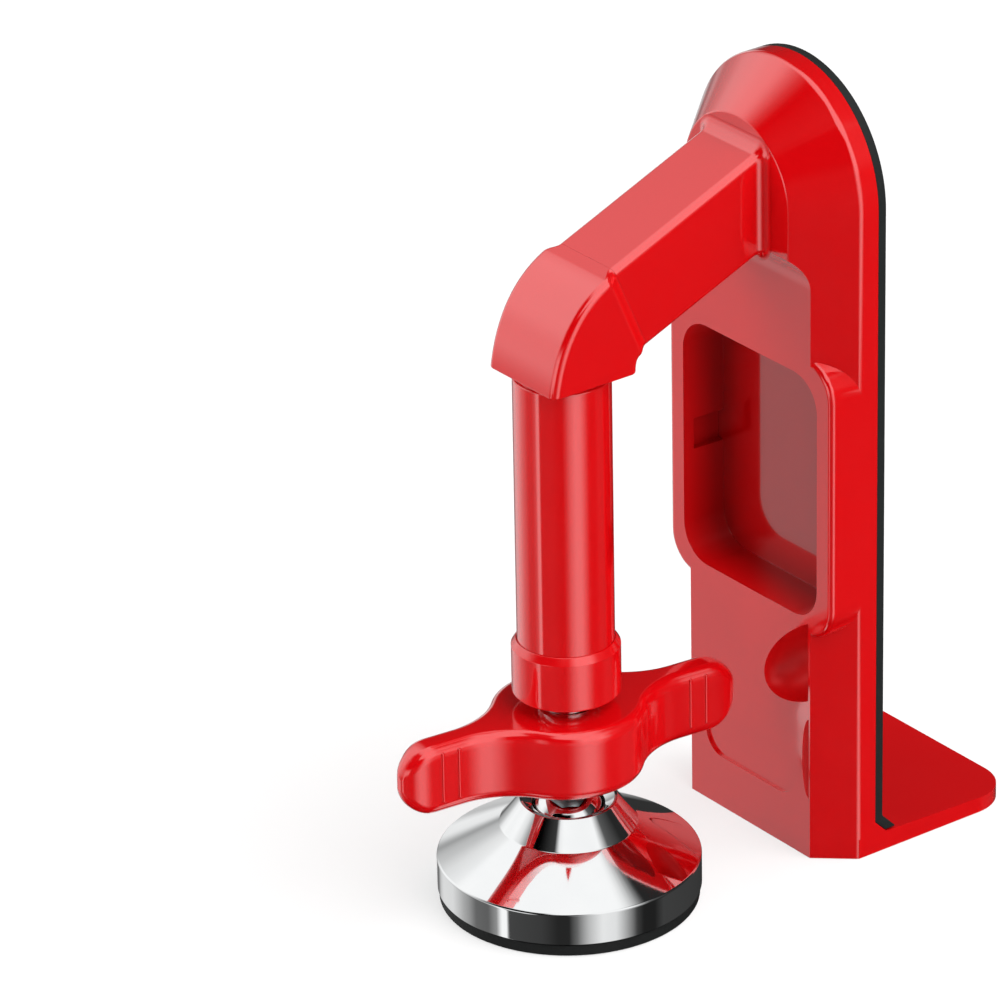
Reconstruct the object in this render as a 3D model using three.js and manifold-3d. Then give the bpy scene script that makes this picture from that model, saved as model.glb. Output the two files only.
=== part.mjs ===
// Screw-down door stopper: a cast bracket that stands against the door with its plate under it,
// an arm and elbow that carry a leg tube, and a ball-jointed foot driven by a wing knob.
// Millimetres, +Z up. The door's face is the plane y = 0, the room is towards -Y,
// and the origin is on the floor, under the middle of that face.

import * as THREE from 'three';
import { mergeVertices } from 'three/addons/utils/BufferGeometryUtils.js';
import Module from 'manifold-3d';

const wasm = await Module();
wasm.setup();

// Sizes shared by all the pieces
const seatGap = 0.3;
const overrun = 5;
const weldDistance = 0.0001;
const archSteps = 48;
const bevelSteps = 3;
const hexSides = 6;
const cornerSteps = 4;
const filletSteps = 5;
const wideRoundSteps = 60;
const roundSteps = 36;
const smallRoundSteps = 16;

// Bracket
const plateHalfWidth = 26.4;
const overallHeight = 171.5;
const padThickness = 2.1;
const bandThickness = 4.3;
const faceReach = 14.1;
const bossReach = 17.5;
const bossRadius = 16.7;
const faceTop = 129;
const bossFillet = 8;
const housingLow = 51.3;
const housingHigh = 113.7;
const housingCorner = 8;
const housingEdge = 1.2;
const pocketHalfWidth = 21.75;
const pocketLow = 55;
const pocketHigh = 109.6;
const pocketCorner = 7.5;
const pocketDepth = 10.2;
const pocketDraft = 0.5;
const notchLow = 78.2;
const notchHigh = 85.2;
const notchDepth = 1.3;
const notchSetback = 2.6;
const scoopCentreZ = 45.7;
const scoopHalfLength = 17.6;
const scoopHalfHeight = 7.6;
const scoopDepth = 8.4;
const scoopSlantDegrees = 35.7;
const scoopLip = 0.6;
const recessCentreZ = 17;
const recessHalfLength = 14.8;
const recessHalfHeight = 5.3;
const recessDepth = 0.6;
const railNotchWidth = 2.1;
const railNotchLip = 0.4;
const railNotchDepth = 1;
const railNotchTaper = 2;
const railNotchLow = 14;
const railNotchHigh = 32;

// Plate under the door
const plateLength = 36.4;
const plateRootHeight = 4.4;
const plateEndHeight = 3;
const plateCorner = 10;
const plateEdge = 0.8;
const rootChamfer = 2.8;

// Arm and elbow
const armHalfWidth = 9.2;
const armRootTop = 157.2;
const armRootBottom = 135;
const armSlope = 0.41;
const armEdge = 1.7;
const rootFillet = 2;
const rootFilletSteps = 4;
const jointTopReach = 55.4;
const jointBottomReach = 47.2;
const jointStep = 1.7;
const jointBlend = 2.8;
const blendShares = [0, 0.15, 0.85, 1];
const tongueLength = 9;
const tongueHalfWidth = 5.8;
const tongueShare = 0.62;
const elbowBottom = 118.6;
const elbowHalfDepth = 10.7;
const elbowShift = 0.35;
const elbowCrownReach = 8;
const elbowCrownRise = 16.2;
const elbowInnerRise = 2.6;
const elbowRim = 0.4;
const elbowSections = 10;

// Leg
const legReach = 61.9;
const tubeRadius = 10;
const tubeWall = 1.5;
const spigotLength = 14;
const grooveHeight = 0.8;
const grooveDepth = 0.7;
const collarRadius = 11.2;
const collarLow = 47.5;
const collarHigh = 59.45;
const collarBevel = 1.5;
const collarEdge = 0.5;
const collarFloor = 1.8;
const nutHeight = 15;
const pinRadius = 1.2;
const pinHeight = 5;

// Screws that hold the arm
const screwRadius = 1.75;
const screwHeadRadius = 3.5;
const screwHeadHeight = 2.4;
const screwReach = 29;
const screwSpacing = 8.5;
const screwMiddleZ = 143.4;

// Spindle and its ball
const ballRadius = 8;
const ballCentreZ = 17.2;
const shankRadius = 4.6;
const threadRadius = 5.9;
const threadLow = 27.6;
const spindleRoom = 4.5;
const spindleChamfer = 1;

// Wing knob
const knobLow = 29.1;
const knobHeight = 15.6;
const knobHubRadius = 15.9;
const knobHalfLength = 40.3;
const knobTurnDegrees = 5.7;
const wingHalfThickness = 3.6;
const wingTipLength = 5.8;
const wingTipRound = 7.4;
const hubFillet = 18.5;
const knobEdge = 2.8;
const knobStations = 32;
const tipShare = 0.99;
const ribInner = 27.7;
const ribOuter = 31.5;
const ribLength = 11.2;
const ribRise = 0.7;
const ribWidth = 0.7;
const ribProud = 0.35;
const insertFlats = 15.6;
const jamNutFlats = 17.6;
const jamNutHeight = 4.4;
const washerHeight = 1;
const knobWeb = 1.6;
const recessMargin = 0.8;

// Foot
const rimRadius = 27.3;
const rimLow = 2.6;
const rimHigh = 9.8;
const rimEdge = 0.6;
const neckBaseRadius = 14.3;
const neckBaseZ = 17;
const neckTopRadius = 10.1;
const neckTopZ = 22.6;
const lipWidth = 0.6;
const lipRise = 4;
const cupWall = 1.9;
const cupRise = 0.8;
const cupSwing = 2.4;
const skirtWall = 2.2;
const rubberSetback = 0.4;
const rubberEdge = 0.5;
const treadGroove = 0.8;
const treadShares = [0.5, 0.8];

// Places that follow from the sizes
const archCentreZ = overallHeight - plateHalfWidth;
const bandReach = padThickness + bandThickness;
const draftSlope = (plateHalfWidth - bossRadius) / (bossReach - bandReach);
const faceHalfWidth = plateHalfWidth - draftSlope * (faceReach - bandReach);
const tubeBottom = collarLow + collarFloor + seatGap;
const tubeTop = elbowBottom - grooveHeight;
const spindleTop = tubeTop - spigotLength - spindleRoom;
const boreRadius = tubeRadius - tubeWall;
const runningBore = threadRadius + seatGap;
const knobHigh = knobLow + knobHeight;
const knobMiddle = (knobLow + knobHigh) / 2;
const rubberRadius = rimRadius - rubberSetback;
const leg = new THREE.Vector3(0, -legReach, 0);

const gloss = (hex, roughness, metalness) => {
  return new THREE.MeshStandardMaterial({ color: new THREE.Color(hex), roughness, metalness });
};
const paints = {
  redPaint: () => gloss('#d8141c', 0.28, 0),
  redPlastic: () => gloss('#da171f', 0.32, 0),
  blackRubber: () => gloss('#1e2021', 0.75, 0),
  chrome: () => gloss('#dfe2e4', 0.06, 1),
  steel: () => gloss('#a9adb0', 0.35, 1),
  brass: () => gloss('#b9974e', 0.35, 1),
  nylon: () => gloss('#e8e6df', 0.5, 0),
};

// Turns a closed geometry into a solid for cutting and joining.
function toSolid(geometry) {
  const bare = geometry.clone();
  bare.deleteAttribute('normal');
  bare.deleteAttribute('uv');
  const welded = mergeVertices(bare, weldDistance);
  return new wasm.Manifold(new wasm.Mesh({
    numProp: 3,
    vertProperties: new Float32Array(welded.attributes.position.array),
    triVerts: new Uint32Array(welded.index.array),
  }));
}

function toGeometry(solid) {
  const mesh = solid.getMesh();
  const geometry = new THREE.BufferGeometry();
  geometry.setAttribute('position', new THREE.BufferAttribute(mesh.vertProperties, 3));
  geometry.setIndex(new THREE.BufferAttribute(mesh.triVerts, 1));
  geometry.computeVertexNormals();
  return geometry;
}

// Joins rings of equal count, each [[x, y, z], ...] and convex, into one closed skin.
function loft(rings) {
  const count = rings[0].length;
  const index = [];
  for (let ring = 1; ring < rings.length; ring += 1) {
    for (let i = 0; i < count; i += 1) {
      const next = (i + 1) % count;
      const a = (ring - 1) * count + i;
      const b = (ring - 1) * count + next;
      const c = ring * count + next;
      const d = ring * count + i;
      index.push(a, b, c, a, c, d);
    }
  }
  const last = (rings.length - 1) * count;
  for (let i = 1; i < count - 1; i += 1) {
    index.push(0, i + 1, i, last, last + i, last + i + 1);
  }
  const points = rings.flat().map((p) => new THREE.Vector3(...p));
  const scratch = new THREE.Vector3();
  let volume = 0;
  for (let i = 0; i < index.length; i += 3) {
    const [a, b, c] = [points[index[i]], points[index[i + 1]], points[index[i + 2]]];
    volume += a.dot(scratch.crossVectors(b, c));
  }
  if (volume < 0) {
    index.reverse();
  }
  const geometry = new THREE.BufferGeometry();
  geometry.setAttribute('position', new THREE.Float32BufferAttribute(rings.flat(2), 3));
  geometry.setIndex(index);
  return toSolid(geometry);
}

// A rounded rectangle in the plane of the X axis and the line from low to high, each [y, z].
function sectionRing(low, high, halfWidth, corner) {
  const start = new THREE.Vector2(...low);
  const rise = new THREE.Vector2(...high).sub(start);
  const length = rise.length();
  rise.normalize();
  const radius = Math.min(corner, halfWidth, length / 2);
  const centres = [
    [halfWidth - radius, length - radius],
    [radius - halfWidth, length - radius],
    [radius - halfWidth, radius],
    [halfWidth - radius, radius],
  ];
  return centres.flatMap(([x, up], quarter) => {
    return Array.from({ length: cornerSteps + 1 }, (_, k) => {
      const angle = (quarter + k / cornerSteps) * Math.PI / 2;
      const along = up + radius * Math.sin(angle);
      return [x + radius * Math.cos(angle), start.x + rise.x * along, start.y + rise.y * along];
    });
  });
}

function roundedRect(halfWidth, low, high, radius) {
  const shape = new THREE.Shape();
  shape.absarc(halfWidth - radius, high - radius, radius, 0, Math.PI / 2);
  shape.absarc(radius - halfWidth, high - radius, radius, Math.PI / 2, Math.PI);
  shape.absarc(radius - halfWidth, low + radius, radius, Math.PI, 3 * Math.PI / 2);
  shape.absarc(halfWidth - radius, low + radius, radius, 3 * Math.PI / 2, 2 * Math.PI);
  return shape;
}

const toShape = (points) => new THREE.Shape(points.map((p) => new THREE.Vector2(...p)));

// A profile in Y and Z, drawn out along X to each side.
function prismAcross(shape, halfWidth) {
  const depth = 2 * halfWidth;
  const geometry = new THREE.ExtrudeGeometry(shape, {
    depth, bevelEnabled: false, curveSegments: filletSteps,
  });
  const turn = new THREE.Matrix4().makeBasis(
    new THREE.Vector3(0, 1, 0), new THREE.Vector3(0, 0, 1), new THREE.Vector3(1, 0, 0));
  geometry.applyMatrix4(turn).translate(-halfWidth, 0, 0);
  return toSolid(geometry);
}

// An outline in X and Z, drawn out from one reach ahead of the door to another.
function prismForward(shape, fromReach, toReach, options = {}) {
  const depth = toReach - fromReach;
  const geometry = new THREE.ExtrudeGeometry(shape, {
    depth, bevelEnabled: false, curveSegments: filletSteps, ...options,
  });
  geometry.rotateX(Math.PI / 2).translate(0, -fromReach, 0);
  return toSolid(geometry);
}

// A plan in X and Y, drawn out upwards.
function prismUp(shape, low, high) {
  const geometry = new THREE.ExtrudeGeometry(shape, {
    depth: high - low, bevelEnabled: false, curveSegments: filletSteps,
  });
  geometry.translate(0, 0, low);
  return toSolid(geometry);
}

// A profile of [radius, z] turned about the upright axis through the place given.
function turned(profile, steps, place = leg) {
  const points = profile.map(([r, z]) => new THREE.Vector2(r, z));
  const geometry = new THREE.LatheGeometry(points, steps);
  geometry.rotateX(Math.PI / 2).translate(place.x, place.y, 0);
  return toSolid(geometry);
}

const tubeProfile = (inner, outer, low, high) => {
  return [[inner, low], [outer, low], [outer, high], [inner, high], [inner, low]];
};
const rodProfile = (radius, low, high) => [[0, low], [radius, low], [radius, high], [0, high]];

// Points of a circle about a height on the axis, as [radius, z], between two heights.
function spherePoints(radius, centreZ, fromRise, toRise) {
  const start = Math.asin(fromRise / radius);
  const end = Math.asin(toRise / radius);
  return Array.from({ length: filletSteps + 1 }, (_, k) => {
    const angle = start + (end - start) * k / filletSteps;
    return [radius * Math.cos(angle), centreZ + radius * Math.sin(angle)];
  });
}

function archRing(halfWidth, reach, low) {
  const ring = Array.from({ length: archSteps + 1 }, (_, k) => {
    const angle = Math.PI * k / archSteps;
    return [halfWidth * Math.cos(angle), -reach, archCentreZ + halfWidth * Math.sin(angle)];
  });
  return [...ring, [-halfWidth, -reach, low], [halfWidth, -reach, low]];
}

const cornerOf = (flats) => flats / 2 / Math.cos(Math.PI / hexSides);

// A hexagonal rod across the flats given, standing on the leg's axis.
function hexRod(flats, low, high) {
  const corner = cornerOf(flats);
  const points = Array.from({ length: hexSides }, (_, k) => {
    const angle = 2 * Math.PI * k / hexSides;
    return [corner * Math.cos(angle), corner * Math.sin(angle) - legReach];
  });
  return prismUp(toShape(points), low, high);
}

// A round rod that lies along Y or X, between two places.
function rodBetween(from, to, radius, steps) {
  const start = new THREE.Vector3(...from);
  const end = new THREE.Vector3(...to);
  const geometry = new THREE.CylinderGeometry(radius, radius, start.distanceTo(end), steps);
  const along = end.clone().sub(start).normalize();
  const turn = new THREE.Quaternion().setFromUnitVectors(new THREE.Vector3(0, 1, 0), along);
  const middle = start.clone().add(end).multiplyScalar(1 / 2);
  geometry.applyQuaternion(turn).translate(...middle.toArray());
  return toSolid(geometry);
}

const screwHeights = [-1, 1].map((side) => screwMiddleZ + side * screwSpacing / 2);

// Arched band, drafted front, raised boss: the front face stays behind the boss, with a fillet.
function draftedBody() {
  const body = loft([
    archRing(plateHalfWidth, padThickness, 0),
    archRing(plateHalfWidth, bandReach, 0),
    archRing(bossRadius, bossReach, 0),
  ]);
  const turnAngle = Math.acos(1 - (bossReach - faceReach) / bossFillet);
  const fillet = Array.from({ length: filletSteps + 1 }, (_, k) => {
    const angle = turnAngle * k / filletSteps;
    const y = -faceReach - bossFillet * (1 - Math.cos(angle));
    return [y, faceTop + bossFillet * Math.sin(angle)];
  });
  const ahead = -bossReach - overrun;
  const topZ = fillet[filletSteps][1];
  const cutter = prismAcross(
    toShape([[ahead, -overrun], [-faceReach, -overrun], ...fillet, [ahead, topZ]]),
    plateHalfWidth + overrun);
  return body.subtract(cutter);
}

function underDoorPlate() {
  const plan = new THREE.Shape();
  plan.moveTo(-plateHalfWidth, -bandReach);
  plan.lineTo(plateHalfWidth, -bandReach);
  plan.absarc(plateHalfWidth - plateCorner, plateLength - plateCorner, plateCorner, 0, Math.PI / 2);
  plan.absarc(plateCorner - plateHalfWidth, plateLength - plateCorner, plateCorner, Math.PI / 2, Math.PI);
  const slab = prismUp(plan, 0, plateRootHeight);
  const wedge = prismAcross(toShape([
    [0, plateRootHeight],
    [plateLength - plateEdge, plateEndHeight],
    [plateLength, plateEndHeight - plateEdge],
    [plateLength + overrun, plateEndHeight - plateEdge],
    [plateLength + overrun, plateRootHeight + overrun],
    [0, plateRootHeight + overrun],
  ]), plateHalfWidth + overrun);
  const chamfer = prismAcross(toShape([
    [-padThickness - plateEdge, plateRootHeight - plateEdge],
    [-padThickness + rootChamfer + plateEdge, plateRootHeight - plateEdge],
    [-padThickness - plateEdge, plateRootHeight + rootChamfer + plateEdge],
  ]), plateHalfWidth);
  return slab.subtract(wedge).add(chamfer);
}

function pocketCutter() {
  const front = faceReach + overrun;
  const back = faceReach - pocketDepth;
  const mouth = roundedRect(pocketHalfWidth, pocketLow, pocketHigh, pocketCorner);
  const ringAt = (reach, inset) => {
    const outline = roundedRect(
      pocketHalfWidth - inset, pocketLow + inset, pocketHigh - inset, pocketCorner - inset);
    return outline.getPoints(filletSteps).slice(1).map((p) => [p.x, -reach, p.y]);
  };
  const well = loft([ringAt(faceReach, 0), ringAt(back, pocketDraft)]);
  const opening = prismForward(mouth, faceReach - seatGap / 2, front);
  const halfReach = pocketHalfWidth + notchDepth;
  const slots = prismForward(
    toShape([[-halfReach, notchLow], [halfReach, notchLow],
      [halfReach, notchHigh], [-halfReach, notchHigh]]),
    back, faceReach - notchSetback);
  return well.add(opening).add(slots);
}

// Slanted bowl at the front's edge, which leaves the drafted side standing as a thin lip.
function scoopCutter() {
  const bowl = new THREE.SphereGeometry(1, roundSteps, smallRoundSteps);
  bowl.scale(scoopHalfLength, scoopDepth, scoopHalfHeight);
  bowl.rotateY(-THREE.MathUtils.degToRad(scoopSlantDegrees));
  bowl.translate(faceHalfWidth, -faceReach, scoopCentreZ);
  const edge = faceHalfWidth - scoopLip;
  const side = prismForward(toShape([
    [edge, -overrun], [edge + overallHeight, -overrun],
    [edge + overallHeight, overallHeight], [edge, overallHeight],
  ]), 0, faceReach + scoopDepth + overrun);
  return toSolid(bowl).subtract(side);
}

// Section of the notch beside the front's edge, which deepens towards the lip that stays.
function railRing(share) {
  const x = faceHalfWidth - railNotchLip - railNotchWidth * (1 - share);
  const [ahead, floor] = [-faceReach - overrun, -faceReach + railNotchDepth * share];
  const taper = railNotchTaper * (1 - share);
  const [low, high] = [railNotchLow + taper, railNotchHigh - taper];
  return [[x, ahead, low], [x, floor, low], [x, floor, high], [x, ahead, high]];
}

function makeBracket() {
  const housing = prismForward(
    roundedRect(plateHalfWidth, housingLow, housingHigh, housingCorner),
    bandReach - bandThickness / 2 + housingEdge, faceReach - housingEdge, {
      bevelEnabled: true,
      bevelThickness: housingEdge,
      bevelSize: housingEdge,
      bevelOffset: -housingEdge,
      bevelSegments: bevelSteps,
    });
  const recess = prismForward(
    roundedRect(recessHalfLength, recessCentreZ - recessHalfHeight,
      recessCentreZ + recessHalfHeight, recessHalfHeight),
    faceReach - recessDepth, faceReach + overrun);
  const railNotch = loft([railRing(0), railRing(1)]);
  let body = draftedBody().add(housing).add(underDoorPlate());
  body = body.subtract(pocketCutter()).subtract(scoopCutter());
  body = body.subtract(recess).subtract(railNotch);
  for (const z of screwHeights) {
    const throat = padThickness + screwHeadHeight + seatGap * 2;
    const head = screwHeadRadius + seatGap;
    const shaft = screwRadius + seatGap;
    body = body.subtract(rodBetween([0, overrun, z], [0, -throat, z], head, smallRoundSteps));
    body = body.subtract(rodBetween([0, 0, z], [0, -bossReach - overrun, z], shaft, smallRoundSteps));
  }
  return body;
}

// Rubber sheet on the door side, whose foot turns along the root chamfer onto the plate.
function makePad() {
  const sheet = padThickness - seatGap;
  const chamferLine = plateRootHeight + rootChamfer - padThickness;
  const innerLine = chamferLine + seatGap * Math.SQRT2;
  const outerLine = chamferLine + padThickness * Math.SQRT2;
  const footZ = plateRootHeight + seatGap;
  const body = loft([archRing(plateHalfWidth, 0, outerLine), archRing(plateHalfWidth, sheet, outerLine)]);
  const toe = prismAcross(toShape([
    [0, outerLine],
    [-sheet, outerLine],
    [-sheet, innerLine + sheet],
    [innerLine - footZ, footZ],
    [outerLine - footZ, footZ],
  ]), plateHalfWidth);
  return body.add(toe);
}

function makeArmScrew(z) {
  const headBack = padThickness + seatGap;
  const headFront = headBack + screwHeadHeight;
  const head = rodBetween([0, -headBack, z], [0, -headFront, z], screwHeadRadius, smallRoundSteps);
  const shaft = rodBetween([0, -headFront + seatGap, z], [0, -screwReach, z], screwRadius, smallRoundSteps);
  return head.add(shaft);
}

// Upper and lower lines of the arm at a reach ahead of the door, as [y, z].
const armTopAt = (reach) => [-reach, armRootTop - armSlope * (reach - bossReach)];
const armBottomAt = (reach) => [-reach, armRootBottom - armSlope * (reach - bossReach)];
const jointTop = armTopAt(jointTopReach);
const jointBottom = armBottomAt(jointBottomReach);
const between = (a, b, share) => [a[0] + (b[0] - a[0]) * share, a[1] + (b[1] - a[1]) * share];

// Ring of the joint face, moved along the arm and drawn in by an inset on every side.
function jointRing(along, inset, halfWidth, corner) {
  const slant = Math.hypot(1, armSlope);
  const move = (p) => [p[0] - along / slant, p[1] - along * armSlope / slant];
  const height = Math.hypot(jointTop[0] - jointBottom[0], jointTop[1] - jointBottom[1]);
  const low = between(jointBottom, jointTop, inset / height);
  const high = between(jointTop, jointBottom, inset / height);
  return sectionRing(move(low), move(high), halfWidth, corner);
}

function tongue(clearance) {
  const height = Math.hypot(jointTop[0] - jointBottom[0], jointTop[1] - jointBottom[1]);
  const inset = height * (1 - tongueShare) / 2 - clearance;
  const width = tongueHalfWidth + clearance;
  return [
    jointRing(-tongueLength - clearance, inset, width, armEdge),
    jointRing(overrun, inset, width, armEdge),
  ];
}

function makeArm() {
  const root = bossReach + seatGap;
  const fillet = Array.from({ length: rootFilletSteps + 1 }, (_, k) => {
    const angle = Math.PI / 2 * k / rootFilletSteps;
    const reach = root + rootFillet * (1 - Math.cos(angle));
    const grow = rootFillet * (1 - Math.sin(angle));
    const [lowY, lowZ] = armBottomAt(reach);
    const [highY, highZ] = armTopAt(reach);
    return sectionRing([lowY, lowZ - grow], [highY, highZ + grow], armHalfWidth + grow, armEdge + grow);
  });
  const body = loft([...fillet, jointRing(0, 0, armHalfWidth, armEdge)]);
  let arm = body.subtract(loft(tongue(seatGap)));
  for (const z of screwHeights) {
    const reach = screwReach + seatGap;
    const hole = screwRadius + seatGap;
    arm = arm.subtract(rodBetween([0, 0, z], [0, -reach, z], hole, smallRoundSteps));
  }
  return arm;
}

// Widens past the joint, then bends to the upright leg between an outer and an inner curve.
function makeElbow() {
  const halfWidth = armHalfWidth + jointStep;
  const front = -legReach + elbowShift - elbowHalfDepth;
  const back = -legReach + elbowShift + elbowHalfDepth;
  const slant = Math.hypot(1, armSlope);
  const bendStart = seatGap + jointBlend;
  const offset = (p) => [p[0] - bendStart / slant, p[1] - bendStart * armSlope / slant];
  const height = Math.hypot(jointTop[0] - jointBottom[0], jointTop[1] - jointBottom[1]);
  const outer = new THREE.QuadraticBezierCurve(
    new THREE.Vector2(...offset(jointTop)),
    new THREE.Vector2(-legReach - elbowCrownReach, elbowBottom + elbowCrownRise),
    new THREE.Vector2(front, elbowBottom + elbowRim));
  const inner = new THREE.QuadraticBezierCurve(
    new THREE.Vector2(...offset(jointBottom)),
    new THREE.Vector2(back, elbowBottom + elbowInnerRise),
    new THREE.Vector2(back, elbowBottom + elbowRim));
  const blend = blendShares.slice(0, -1).map((share, k) => {
    const along = seatGap + jointBlend * k / (blendShares.length - 1);
    return jointRing(along, 0, armHalfWidth + jointStep * share, armEdge);
  });
  const bend = Array.from({ length: elbowSections + 1 }, (_, k) => {
    const share = k / elbowSections;
    return sectionRing(
      inner.getPoint(share).toArray(), outer.getPoint(share).toArray(), halfWidth, armEdge);
  });
  const bottomRing = sectionRing(
    [back - elbowRim, elbowBottom], [front + elbowRim, elbowBottom], halfWidth - elbowRim, armEdge);
  const spigotLow = tubeTop - spigotLength;
  const spigot = turned([
    [0, spigotLow],
    [boreRadius - seatGap - collarEdge, spigotLow],
    [boreRadius - seatGap, spigotLow + collarEdge],
    [boreRadius - seatGap, tubeTop + seatGap],
    [tubeRadius - grooveDepth, tubeTop + seatGap],
    [tubeRadius - grooveDepth, elbowBottom + grooveHeight],
    [0, elbowBottom + grooveHeight],
  ], roundSteps);
  const [inside] = tongue(0);
  const nearJoint = jointRing(
    bendStart, height * (1 - tongueShare) / 2, tongueHalfWidth, armEdge);
  return loft([...blend, ...bend, bottomRing]).add(spigot).add(loft([inside, nearJoint]));
}

// The nut's two cross pins and the holes they sit in, on the left or the right of the leg.
const pinZ = tubeBottom + pinHeight;
const pinStart = (boreRadius + runningBore) / 2;
function makeNutPin(side) {
  return rodBetween([side * pinStart, -legReach, pinZ], [side * (tubeRadius - seatGap / 2), -legReach, pinZ],
    pinRadius, smallRoundSteps);
}
function pinBores() {
  return [-1, 1].map((side) => rodBetween(
    [side * (pinStart - seatGap), -legReach, pinZ], [side * (tubeRadius + overrun), -legReach, pinZ],
    pinRadius + seatGap, smallRoundSteps)).reduce((all, one) => all.add(one));
}

function makeTube() {
  return turned(tubeProfile(boreRadius, tubeRadius, tubeBottom, tubeTop), wideRoundSteps)
    .subtract(pinBores());
}

function makeCollar() {
  const bore = tubeRadius + seatGap;
  const floorTop = tubeBottom - seatGap;
  return turned([
    [runningBore + seatGap, collarLow],
    [collarRadius - collarEdge, collarLow],
    [collarRadius, collarLow + collarEdge],
    [collarRadius, collarHigh - collarBevel],
    [bore + seatGap, collarHigh],
    [bore, collarHigh],
    [bore, floorTop],
    [runningBore + seatGap, floorTop],
    [runningBore + seatGap, collarLow],
  ], wideRoundSteps);
}

function makeNut() {
  const profile = tubeProfile(runningBore, boreRadius - seatGap, tubeBottom, tubeBottom + nutHeight);
  return turned(profile, roundSteps).subtract(pinBores());
}

function makeSpindle() {
  const neckRise = Math.sqrt(ballRadius ** 2 - shankRadius ** 2);
  const ball = spherePoints(ballRadius, ballCentreZ, -ballRadius, 0).slice(1);
  const crown = spherePoints(ballRadius, ballCentreZ, 0, neckRise).slice(1);
  return turned([
    [0, ballCentreZ - ballRadius],
    ...ball,
    ...crown,
    [shankRadius, threadLow],
    [threadRadius - spindleChamfer / 2, threadLow],
    [threadRadius, threadLow + spindleChamfer / 2],
    [threadRadius, spindleTop - spindleChamfer],
    [threadRadius - spindleChamfer, spindleTop],
    [0, spindleTop],
  ], roundSteps);
}

// Half-thickness of the knob at a distance from its axis: a round hub, a fillet, and a flat wing.
function knobHalfThickness(distance) {
  const filletLine = wingHalfThickness + hubFillet;
  const filletEnd = Math.sqrt((knobHubRadius + hubFillet) ** 2 - filletLine ** 2);
  const hubEnd = filletEnd * knobHubRadius / (knobHubRadius + hubFillet);
  let full = wingHalfThickness;
  if (distance < hubEnd) {
    full = Math.sqrt(knobHubRadius ** 2 - distance ** 2);
  } else if (distance < filletEnd) {
    full = filletLine - Math.sqrt(hubFillet ** 2 - (distance - filletEnd) ** 2);
  }
  const past = Math.max(0, distance - (knobHalfLength - wingTipLength)) / wingTipLength;
  return full * Math.sqrt(1 - past ** 2);
}

function knobHalfHeight(distance) {
  const past = Math.max(0, distance - (knobHalfLength - wingTipRound));
  return knobHeight / 2 - wingTipRound + Math.sqrt(wingTipRound ** 2 - past ** 2);
}

const jamNutTop = knobLow + recessMargin + jamNutHeight;
const washerLow = jamNutTop + seatGap;
const webLow = washerLow + washerHeight + seatGap;
const insertLow = webLow + knobWeb + seatGap;

function makeKnob() {
  const stations = Array.from({ length: knobStations + 1 }, (_, k) => {
    const share = -Math.cos(Math.PI * k / knobStations);
    return share * knobHalfLength * tipShare;
  });
  const rings = stations.map((along) => {
    const distance = Math.abs(along);
    const halfHeight = knobHalfHeight(distance);
    const y = along - legReach;
    return sectionRing([y, knobMiddle - halfHeight], [y, knobMiddle + halfHeight],
      knobHalfThickness(distance), knobEdge);
  });
  let knob = loft(rings);
  for (const side of [-1, 1]) {
    for (const place of [ribInner, ribOuter]) {
      const y = side * place - legReach;
      const [low, high] = [-1, 1].map((end) => knobMiddle + ribRise + end * ribLength / 2);
      const rib = toShape([
        [y - ribWidth / 2, low + ribWidth / 2],
        [y, low],
        [y + ribWidth / 2, low + ribWidth / 2],
        [y + ribWidth / 2, high - ribWidth / 2],
        [y, high],
        [y - ribWidth / 2, high - ribWidth / 2],
      ]);
      knob = knob.add(prismAcross(rib, knobHalfThickness(place) + ribProud));
    }
  }
  knob = knob.translate([0, legReach, 0]).rotate([0, 0, -knobTurnDegrees]).translate([0, -legReach, 0]);
  const nutRecess = cornerOf(jamNutFlats) + seatGap;
  const overTop = knobHigh + overrun;
  const insertHole = insertFlats + 2 * seatGap;
  return knob
    .subtract(turned(rodProfile(nutRecess, knobLow - overrun, webLow), roundSteps))
    .subtract(turned(rodProfile(runningBore + seatGap, webLow - seatGap, overTop), roundSteps))
    .subtract(hexRod(insertHole, insertLow - seatGap, overTop));
}

const discTop = ballCentreZ - ballRadius - cupWall - 2 * seatGap;
const rubberTop = rimLow + seatGap;

function makeFootShell() {
  const lipZ = ballCentreZ + lipRise;
  const ballBore = ballRadius + seatGap;
  const cupBore = ballBore + cupWall + seatGap;
  const ceiling = discTop + seatGap;
  const skirt = rimRadius - skirtWall;
  const innerLip = spherePoints(ballBore, ballCentreZ, lipRise, cupRise + cupSwing);
  const cupSpace = spherePoints(cupBore, ballCentreZ, cupRise + cupSwing, 0);
  const lipStart = innerLip[0][0];
  return turned([
    [skirt, rimLow],
    [rimRadius - rimEdge / 2, rimLow],
    [rimRadius, rimLow + rimEdge / 2],
    [rimRadius, rimHigh - rimEdge],
    [rimRadius - rimEdge, rimHigh],
    [neckBaseRadius, neckBaseZ],
    [neckTopRadius, neckTopZ],
    [neckTopRadius - lipWidth, neckTopZ],
    [lipStart, lipZ],
    ...innerLip.slice(1),
    ...cupSpace,
    [cupBore, ceiling],
    [skirt, ceiling],
    [skirt, rimLow],
  ], wideRoundSteps);
}

function makeBallCup() {
  const inner = ballRadius + seatGap;
  const outer = inner + cupWall;
  return turned([
    [0, ballCentreZ - outer],
    ...spherePoints(outer, ballCentreZ, -outer, cupRise).slice(1),
    ...spherePoints(inner, ballCentreZ, cupRise, -inner).slice(0, -1),
    [0, ballCentreZ - inner],
  ], roundSteps);
}

function makeBaseDisc() {
  return turned(rodProfile(rimRadius - skirtWall - seatGap, rubberTop + seatGap, discTop), wideRoundSteps);
}

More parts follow.
